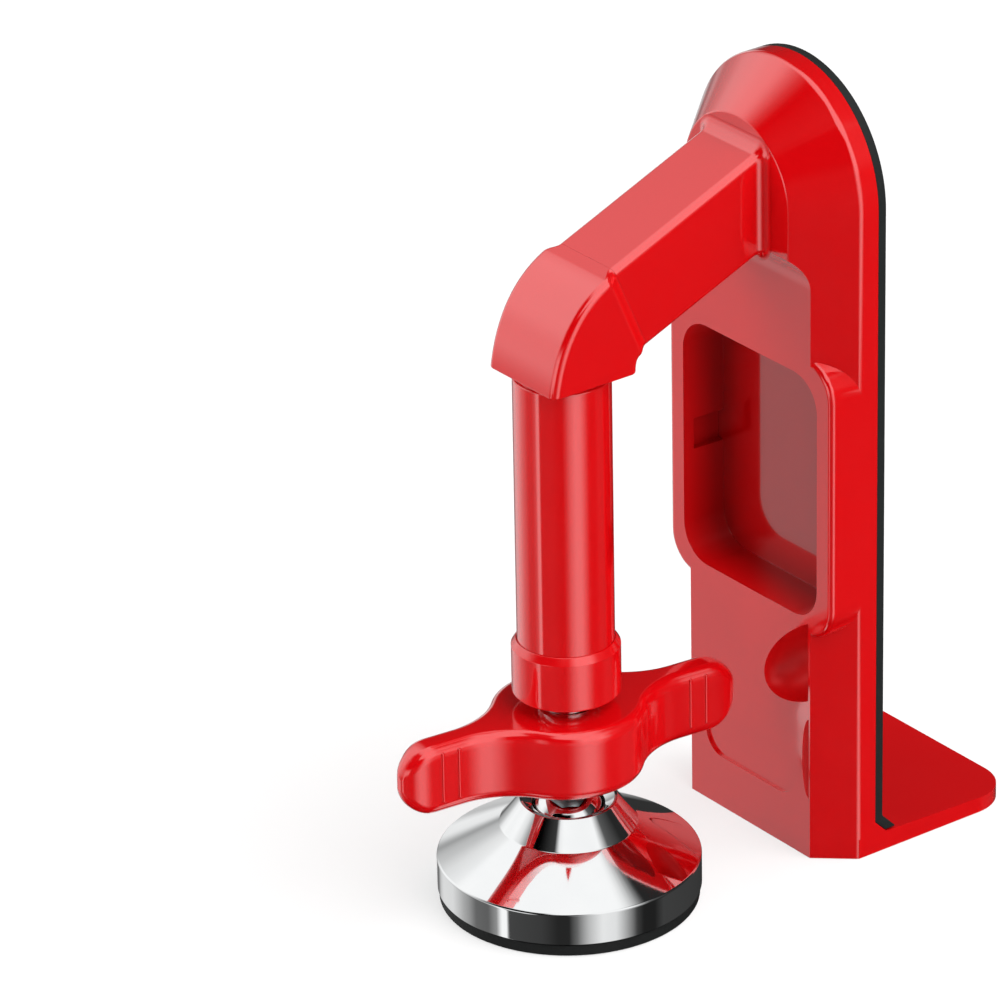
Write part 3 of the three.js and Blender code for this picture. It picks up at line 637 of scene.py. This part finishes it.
def makeElbow():
    e = elbow
    front, back = (e["shift"] - legReach + side * e["halfDepth"] for side in (-1, 1))
    halfWidth = arm["halfWidth"] + e["step"]
    along = e["seat"] + e["blend"]
    innerStart, start = jointEnds(along)
    crown = (-legReach - e["crownReach"], e["bottom"] + e["crownRise"])
    innerBend = (back, e["bottom"] + e["innerRise"])
    rings = []
    for k in range(e["blendSteps"]):
        share = k / e["blendSteps"]
        widen = share * share * (3 - 2 * share)
        rings.append(jointSection(e["gap"] + (along - e["gap"]) * share,
                                  arm["halfWidth"] + e["step"] * widen, arm["edge"]))
    for k in range(e["sections"] + 1):
        share = k / e["sections"]
        rings.append(section(
            curvePoint(innerStart, innerBend, (back, e["bottom"] + e["rim"]), share),
            curvePoint(start, crown, (front, e["bottom"] + e["rim"]), share),
            halfWidth, arm["edge"], arm["cornerSteps"]))
    for k in range(1, e["rimSteps"] + 1):
        turn = pi / 2 * k / e["rimSteps"]
        inset, height = e["rim"] * (1 - cos(turn)), e["bottom"] + e["rim"] * (1 - sin(turn))
        rings.append(section((back - inset, height), (front + inset, height),
                             halfWidth - inset, arm["edge"], arm["cornerSteps"]))
    piece = ringPiece("elbow_casting", rings)
    low, high = e["bottom"] - e["groove"], e["bottom"] + e["neckInside"]
    neck = turnedPiece("neck", [
        (0, low), (e["neckRadius"], low), (e["neckRadius"], high), (0, high)])
    combine(piece, neck, "UNION")
    cleanMesh(piece, flat=0)
    smoothShade(piece, 50)
    hand(piece, "frame", "red_paint", "elbow")


makeArm()
makeElbow()
print("arm and elbow made")


# Leg: painted tube with a moulded collar at its lower end
leg = {
    "radius": 10, "wall": 1.5, "low": 49.6, "high": 117.8, "edge": 0.4, "innerEdge": 0.2,
    "collarRadius": 11.2, "collarLow": 47.5, "collarHigh": 59.45, "collarBevel": 1.5,
    "collarFloor": 1.8, "collarBore": 6.5, "collarGap": 0.05, "collarLip": 0.2,
    "collarEdge": 0.5, "collarFineEdge": 0.3, "collarLipEdge": 0.15,
}


def makeLeg():
    t = leg
    inner = t["radius"] - t["wall"]
    tube = turnedPiece("leg_tube_painted", filleted([
        (inner, t["low"], t["innerEdge"]), (t["radius"], t["low"], t["edge"]),
        (t["radius"], t["high"], t["edge"]), (inner, t["high"], t["innerEdge"])], 4))
    smoothShade(tube)
    hand(tube, "frame", "red_paint", "leg_tube")
    bore, seat = t["radius"] + t["collarGap"], t["collarLow"] + t["collarFloor"]
    collar = turnedPiece("tube_collar_moulded", filleted([
        (t["collarBore"], t["collarLow"], t["collarFineEdge"]),
        (t["collarRadius"], t["collarLow"], t["collarEdge"]),
        (t["collarRadius"], t["collarHigh"] - t["collarBevel"], t["collarFineEdge"]),
        (bore + t["collarLip"], t["collarHigh"], t["collarLipEdge"]), (bore, t["collarHigh"], 0),
        (bore, seat, 0), (t["collarBore"], seat, 0)], 4))
    smoothShade(collar)
    hand(collar, "frame", "red_plastic", "tube_collar")


makeLeg()
print("leg made")


# Spindle: chromed steel with a rolled thread, and a ball for the foot
spindle = {
    "ballRadius": 8, "ballZ": 17.2, "shankRadius": 4.6, "threadRadius": 5.9, "rootRadius": 4.9,
    "ballSteps": 32, "pitch": 1.75, "threadLow": 27.6, "threadLift": 0.25, "top": 99.3,
    "chamfer": 0.3, "sunk": 0.3, "threadSteps": 40, "merge": 0.0005,
    # the share of a pitch at which the profile leaves the core, reaches its crest and comes back
    "flanks": (0.05, 0.43, 0.57, 0.95),
}


def makeSpindle():
    c = spindle
    ball = [(0, c["ballZ"] - c["ballRadius"])]
    rise = sqrt(c["ballRadius"] ** 2 - c["shankRadius"] ** 2)
    last = atan2(rise, c["shankRadius"])
    for k in range(1, c["ballSteps"] + 1):
        turn = -pi / 2 + (last + pi / 2) * k / c["ballSteps"]
        ball.append((c["ballRadius"] * cos(turn), c["ballZ"] + c["ballRadius"] * sin(turn)))
    core = turnedPiece("spindle_threaded", ball + [
        (c["shankRadius"], c["threadLow"] - c["chamfer"]), (c["rootRadius"], c["threadLow"]),
        (c["rootRadius"], c["top"] - c["chamfer"]), (c["rootRadius"] - c["chamfer"], c["top"]),
        (0, c["top"])], 96)
    # one turn of the thread's profile, sunk a little in the core and screwed up the spindle
    crest, root, pitch = c["threadRadius"], c["rootRadius"] - c["sunk"], c["pitch"]
    radii = (root, root + c["sunk"], crest, crest, root + c["sunk"], root)
    bpy.ops.object.select_all(action="DESELECT")
    bpy.ops.mesh.primitive_circle_add(vertices=len(radii), radius=1, fill_type="NOTHING")
    thread = named("thread")
    for vertex, radius, share in zip(thread.data.vertices, radii, (0, *c["flanks"], 1)):
        vertex.co = (radius * mm, 0, share * pitch * mm)
    turns = int((c["top"] - c["threadLow"]) / pitch) - 1
    useModifier(thread, "SCREW", angle=2 * pi, screw_offset=pitch * mm, steps=c["threadSteps"],
                render_steps=c["threadSteps"], iterations=turns, use_merge_vertices=False,
                use_normal_calculate=True)
    thread.location = at(0, -legReach, c["threadLow"] + c["threadLift"])
    fixPlace(thread)
    only(thread)
    bpy.ops.object.mode_set(mode="EDIT")
    bpy.ops.mesh.select_all(action="SELECT")
    bpy.ops.mesh.remove_doubles(threshold=c["merge"] * mm)
    bpy.ops.mesh.select_all(action="DESELECT")
    bpy.ops.mesh.select_mode(type="EDGE")
    bpy.ops.mesh.select_non_manifold(extend=False)
    bpy.ops.mesh.edge_face_add()
    bpy.ops.mesh.select_all(action="SELECT")
    bpy.ops.mesh.normals_make_consistent(inside=False)
    bpy.ops.object.mode_set(mode="OBJECT")
    core.select_set(True)
    bpy.context.view_layer.objects.active = core
    bpy.ops.object.join()
    smoothShade(core, 45)
    hand(core, "spindle", "chrome", "spindle")


makeSpindle()
print("spindle made")


# Wing knob: moulded hub that blends into two flat wings with grip lines
knob = {
    "low": 29.1, "height": 15.6, "hubRadius": 15.9, "halfLength": 40.3, "turn": 5.7,
    "wingHalf": 3.6, "tipLength": 5.8, "tipRound": 7.4, "hubFillet": 18.5, "edge": 2.8,
    # the wings stop short of the point where their tips would close, and fit the solid's length
    "tipShare": 0.998, "lengthShare": 0.992,
    "stations": 120, "ribs": (27.7, 31.5), "ribLength": 11.2, "ribRise": 0.7, "ribWidth": 0.7,
    "ribCornerShare": 0.9, "ribProud": 0.35, "ribEdge": 0.2,
    "insertFlats": 15.9, "insertLow": 37.6, "insertCover": 0.28,
    "nutFlats": 17.6, "nutGap": 0.3, "bore": 6.4, "webLow": 35.9, "cutPast": 2, "cutInto": 1,
}


# half the thickness at a distance from the knob's axis: a round hub, a fillet and a flat wing
def knobHalfThickness(distance):
    k = knob
    line = k["wingHalf"] + k["hubFillet"]
    filletEnd = sqrt((k["hubRadius"] + k["hubFillet"]) ** 2 - line ** 2)
    hubEnd = filletEnd * k["hubRadius"] / (k["hubRadius"] + k["hubFillet"])
    full = k["wingHalf"]
    if distance < hubEnd:
        full = sqrt(k["hubRadius"] ** 2 - distance ** 2)
    elif distance < filletEnd:
        full = line - sqrt(k["hubFillet"] ** 2 - (distance - filletEnd) ** 2)
    past = max(0, distance - (k["halfLength"] - k["tipLength"])) / k["tipLength"]
    return full * sqrt(max(0, 1 - past * past))


# half the height there, rounded off towards the tip
def knobHalfHeight(distance):
    k = knob
    past = max(0, distance - (k["halfLength"] - k["tipRound"]))
    return k["height"] / 2 - k["tipRound"] + sqrt(k["tipRound"] ** 2 - past ** 2)


# a six-sided prism about the leg's axis
def hexPiece(name, flats, low, high):
    bpy.ops.object.select_all(action="DESELECT")
    corner = flats / 2 / cos(pi / 6)
    bpy.ops.mesh.primitive_cylinder_add(
        vertices=6, radius=corner * mm, depth=(high - low) * mm,
        location=at(0, -legReach, (low + high) / 2), rotation=(0, 0, pi / 6))
    piece = named(name)
    fixPlace(piece)
    return piece


def makeKnob():
    k = knob
    middle, high = k["low"] + k["height"] / 2, k["low"] + k["height"]
    rings = []
    for i in range(k["stations"] + 1):
        along = -cos(pi * i / k["stations"]) * k["halfLength"] * k["tipShare"]
        half = knobHalfHeight(abs(along))
        y = along * k["lengthShare"] - legReach
        rings.append(section((y, middle - half), (y, middle + half),
                             knobHalfThickness(abs(along)), k["edge"], 8))
    piece = ringPiece("wing_knob_moulded", rings)
    for side in (-1, 1):
        for place in k["ribs"]:
            y = side * place - legReach
            width, half, centre = k["ribWidth"] / 2, k["ribLength"] / 2, middle + k["ribRise"]
            corner = width * k["ribCornerShare"]
            rib = acrossPiece("rib", filleted([
                (y - width, centre - half, corner), (y + width, centre - half, corner),
                (y + width, centre + half, corner), (y - width, centre + half, corner),
            ], 4), knobHalfThickness(place) + k["ribProud"])
            roundEdges(rib, k["ribEdge"], 2, 60)
            combine(piece, rib, "UNION")
    turn = Matrix.Translation(legAxis) @ Matrix.Rotation(-radians(k["turn"]), 4, "Z")
    piece.matrix_world = turn @ Matrix.Translation(-legAxis)
    fixPlace(piece)
    below, above, web = k["low"] - k["cutPast"], high + k["cutPast"], k["webLow"]
    recess = k["nutFlats"] / 2 / cos(pi / 6) + k["nutGap"]
    combine(piece, turnedPiece("nut_recess", [
        (0, below), (recess, below), (recess, web), (0, web)]))
    into = web - k["cutInto"]
    combine(piece, turnedPiece("bore", [
        (0, into), (k["bore"], into), (k["bore"], above), (0, above)]))
    combine(piece, hexPiece("insert_hole", k["insertFlats"], k["insertLow"],
                            high - k["insertCover"]))
    cleanMesh(piece, flat=0)
    smoothShade(piece, 35)
    hand(piece, "knob", "red_plastic", "wing_knob")


makeKnob()
print("knob made")


# Foot: a turned and chromed dish on a rubber sole
foot = {
    "rimRadius": 27.3, "rimLow": 2.6, "rimHigh": 9.8, "rimEdge": 0.7, "rimLowEdge": 0.4,
    "neckBaseRadius": 14.3, "neckBaseZ": 17, "neckBaseFillet": 0.8,
    "neckTopRadius": 10.1, "neckTopZ": 22.6, "neckTopEdge": 0.35,
    "lipRadius": 9.5, "lipEdge": 0.25, "throatRadius": 7.4, "throatZ": 21.2, "throatEdge": 0.2,
    "boreRadius": 8.3, "boreZ": 20.4, "boreStep": 0.2,
    "innerRadius": 24.8, "ceiling": 7.2, "wellRadius": 10.4,
    "rubberRadius": 26.9, "rubberEdge": 0.6, "rubberTop": 2.55, "rubberTopEdge": 0.15,
    "plugTop": 3, "plugGap": 0.3, "grooves": (12.4, 19.8), "grooveWidth": 1.6,
    "grooveDepth": 0.8, "grooveFloor": 0.7, "grooveEdge": 0.2, "turnSteps": 160,
}


def makeFoot():
    f = foot
    shell = turnedPiece("foot_shell_turned", filleted([
        (f["innerRadius"], f["rimLow"], 0), (f["rimRadius"], f["rimLow"], f["rimLowEdge"]),
        (f["rimRadius"], f["rimHigh"], f["rimEdge"]),
        (f["neckBaseRadius"], f["neckBaseZ"], f["neckBaseFillet"]),
        (f["neckTopRadius"], f["neckTopZ"], f["neckTopEdge"]),
        (f["lipRadius"], f["neckTopZ"], f["lipEdge"]),
        (f["throatRadius"], f["throatZ"], f["throatEdge"]), (f["boreRadius"], f["boreZ"], 0),
        (f["wellRadius"], f["boreZ"] - f["boreStep"], 0), (f["wellRadius"], f["ceiling"], 0),
        (f["innerRadius"], f["ceiling"], 0)], 6), f["turnSteps"])
    smoothShade(shell)
    hand(shell, "foot", "chrome", "foot_shell")
    corners = [(0, 0, 0)]
    half, depth, edge = f["grooveWidth"] / 2, f["grooveDepth"], f["grooveEdge"]
    flat = half * f["grooveFloor"]
    for radius in f["grooves"]:
        corners += [(radius - half, 0, edge), (radius - flat, depth, edge),
                    (radius + flat, depth, edge), (radius + half, 0, edge)]
    plug = f["innerRadius"] - f["plugGap"]
    corners += [
        (f["rubberRadius"], 0, f["rubberEdge"]),
        (f["rubberRadius"], f["rubberTop"], f["rubberTopEdge"]),
        (plug, f["rubberTop"], 0), (plug, f["plugTop"], 0), (0, f["plugTop"], 0)]
    sole = turnedPiece("foot_sole", filleted(corners, 4), f["turnSteps"])
    smoothShade(sole)
    hand(sole, "foot", "foot_rubber", "foot_rubber")


makeFoot()
print("foot made")


# Inside: the metal and nylon pieces keep their solids and get their finishes
inside = {
    "arm_screw_lower": "zinc_steel", "arm_screw_upper": "zinc_steel",
    "nut_pin_left": "zinc_steel", "nut_pin_right": "zinc_steel", "spindle_nut": "nut_brass",
    "knob_insert": "nut_brass", "lock_washer": "zinc_steel", "jam_nut": "zinc_steel",
    "ball_cup": "cup_nylon", "base_disc": "zinc_steel",
}
for node, slot in inside.items():
    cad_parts[node].data.materials.clear()
    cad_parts[node].data.materials.append(finishes[slot])
print("inside pieces finished:", len(inside))


# Studio: a pale floor, three lamps and the walls that the gloss shows. A lamp is its place and
# size in metres and its power.
studio = {
    "floorColour": "#f4f4f4", "floorRoughness": 0.9, "floorSize": 8, "floorZ": -0.0001,
    "floorLift": 0.14, "floorClear": 0.6, "worldLight": 0.4, "gloss": 1.0,
    "key": ((1.45, 0.3, 1.7), 2.2, 50.0), "fill": ((-1.1, -1.75, 0.7), 1.4, 20.5),
    "back": ((0.5, 1.6, 1.5), 1.6, 16.0), "lampAim": (0, -0.04, 0.08),
    # the walls' strength by the direction in degrees round +Z: below the horizon
    "low": [
        (-180, 0.74), (-160, 0.74), (-150, 0.56), (-143, 0.42), (-136, 0.32), (-127, 0.14),
        (-113, 0.12), (-104, 0.3), (-99, 1), (-93.5, 1), (-92.5, 0.06), (-62, 0.045),
        (-48, 0.02), (-38, 0.02), (-31, 0.14), (-21, 0.52), (-9, 0.85), (3, 0.8), (15, 0.32),
        (23, 0.05), (30, 0.015), (42, 0.015), (52, 0.05), (110, 0.04), (138, 0.03),
        (146, 0.6), (152, 0.5), (158, 0.12), (164, 0.2), (172, 0.6),
    ],
    # about level with it
    "level": [
        (-180, 0.66), (-174, 0.9), (-165, 1), (-150, 0.9), (-137, 0.78), (-125, 0.5),
        (-110, 0.5), (-100, 0.9), (-72, 0.95), (-63, 0.04), (-40, 0.02), (-25, 0.45),
        (-12, 0.9), (5, 0.8), (18, 0.3), (30, 0.03), (146, 0.03), (153, 0.9), (161, 0.85),
        (167, 0.3), (174, 0.45),
    ],
    # above it
    "high": [
        (-180, 0.78), (-168, 1), (-142, 1), (-130, 0.8), (-118, 0.3), (-108, 0.03), (-100, 0),
        (-32, 0), (-14, 1), (18, 1), (34, 0.1), (60, 0.02), (158, 0.02), (168, 0.48),
        (174, 0.58),
    ],
    # and steeply above it, up to a pale ceiling
    "steep": [
        (-180, 0.85), (-172, 1), (-152, 1), (-145, 0.86), (-137, 0.56), (-125, 0.2),
        (-113, 0.02), (-105, 0), (-64, 0.04), (-56, 0.9), (-48, 1), (24, 0.95), (41, 0.45),
        (54, 0.02), (158, 0.02), (168, 0.48), (174, 0.58),
    ],
    # the heights, as a direction's Z, between which the dark ground and each next band blend in
    "ground": (-0.85, -0.5), "horizon": (-0.26, -0.04), "upper": (0.12, 0.32),
    "top": (0.6, 0.69), "ceiling": (0.86, 0.95),
}


# a ramp through a band's strengths, which ends as it starts
def wallRamp(tree, around, walls):
    ramp = addNode(tree, "ShaderNodeValToRGB", links={"Fac": around})
    stops = ramp.color_ramp.elements
    while len(stops) < len(walls) + 1:
        stops.new(1)
    for stop, (turn, level) in zip(stops, walls + [(180, walls[0][1])]):
        stop.position = (turn + 180) / 360
        stop.color = (level, level, level, 1)
    return ramp.outputs["Color"]


def makeFloor():
    material, tree, shader = newMaterial("floorPaper", {
        "Base Color": linear(studio["floorColour"]), "Roughness": studio["floorRoughness"],
        "Specular IOR Level": 0.0, "Emission Color": (1, 1, 1, 1),
    })
    rays = addNode(tree, "ShaderNodeLightPath").outputs
    seen = compute(tree, "MAXIMUM", rays["Is Camera Ray"], rays["Is Glossy Ray"])
    seen = compute(tree, "MAXIMUM", seen, rays["Is Transmission Ray"])
    lift = compute(tree, "MULTIPLY", seen, studio["floorLift"])
    tree.links.new(lift, shader.inputs["Emission Strength"])
    # part clear to the camera, and wholly so from below, to show a foot that is wound down
    under = addNode(tree, "ShaderNodeNewGeometry").outputs["Backfacing"]
    clear = remap(tree, under, {"To Min": studio["floorClear"], "To Max": 1.0})
    share = compute(tree, "MULTIPLY", rays["Is Camera Ray"], clear)
    blend = addNode(tree, "ShaderNodeMixShader", links={"Fac": share})
    tree.links.new(shader.outputs["BSDF"], blend.inputs[1])
    tree.links.new(addNode(tree, "ShaderNodeBsdfTransparent").outputs["BSDF"], blend.inputs[2])
    tree.links.new(blend.outputs["Shader"], tree.nodes["Material Output"].inputs["Surface"])
    bpy.ops.object.select_all(action="DESELECT")
    bpy.ops.mesh.primitive_plane_add(size=studio["floorSize"], location=(0, 0, studio["floorZ"]))
    floor = named("floor")
    floor.data.materials.append(material)
    floor.visible_glossy = False


# the world: white to the camera, plain light for what is matt, and the walls for what shines
def makeWorld():
    world = bpy.data.worlds.new("studio")
    bpy.context.scene.world = world
    world.use_nodes = True
    tree = world.node_tree
    tree.nodes.clear()
    rays = addNode(tree, "ShaderNodeLightPath").outputs
    seen = compute(tree, "MAXIMUM", rays["Is Camera Ray"], rays["Is Transmission Ray"])
    plain = remap(tree, seen, {"To Min": studio["worldLight"], "To Max": 1.0})
    ahead = addNode(tree, "ShaderNodeTexCoord").outputs["Generated"]
    around = addNode(tree, "ShaderNodeTexGradient", links={"Vector": ahead},
                     gradient_type="RADIAL").outputs["Fac"]
    height = addNode(tree, "ShaderNodeSeparateXYZ", links={"Vector": ahead}).outputs["Z"]
    shown = wallRamp(tree, around, studio["low"])
    for band, above in (("horizon", wallRamp(tree, around, studio["level"])),
                        ("upper", wallRamp(tree, around, studio["high"])),
                        ("top", wallRamp(tree, around, studio["steep"])), ("ceiling", None)):
        step = remap(tree, height, {
            "From Min": studio[band][0], "From Max": studio[band][1]},
            interpolation_type="SMOOTHSTEP")
        blend = addNode(tree, "ShaderNodeMix", {"B": 1.0}, {"Factor": step, "A": shown},
                        data_type="FLOAT")
        if above:
            tree.links.new(above, blend.inputs["B"])
        shown = blend.outputs["Result"]
    ground = remap(tree, height, {
        "From Min": studio["ground"][0], "From Max": studio["ground"][1],
        "To Max": studio["gloss"]}, interpolation_type="SMOOTHSTEP")
    reflected = compute(tree, "MULTIPLY", shown, ground)
    strength = addNode(tree, "ShaderNodeMix", links={
        "Factor": rays["Is Glossy Ray"], "A": plain, "B": reflected}, data_type="FLOAT")
    light = addNode(tree, "ShaderNodeBackground", {"Color": (1, 1, 1, 1)},
                    {"Strength": strength.outputs["Result"]})
    addNode(tree, "ShaderNodeOutputWorld", links={"Surface": light.outputs["Background"]})


def makeLamps():
    for name in ("key", "fill", "back"):
        place, size, power = studio[name]
        bpy.ops.object.light_add(type="AREA", location=place)
        lamp = bpy.context.object
        lamp.name = name + "Lamp"
        lamp.data.energy = power
        lamp.data.size = size
        lamp.visible_glossy = False
        ahead = Vector(studio["lampAim"]) - Vector(place)
        lamp.rotation_euler = ahead.to_track_quat("-Z", "Y").to_euler()


makeFloor()
makeWorld()
makeLamps()
bpy.context.scene.view_settings.view_transform = "Standard"
print("studio made")
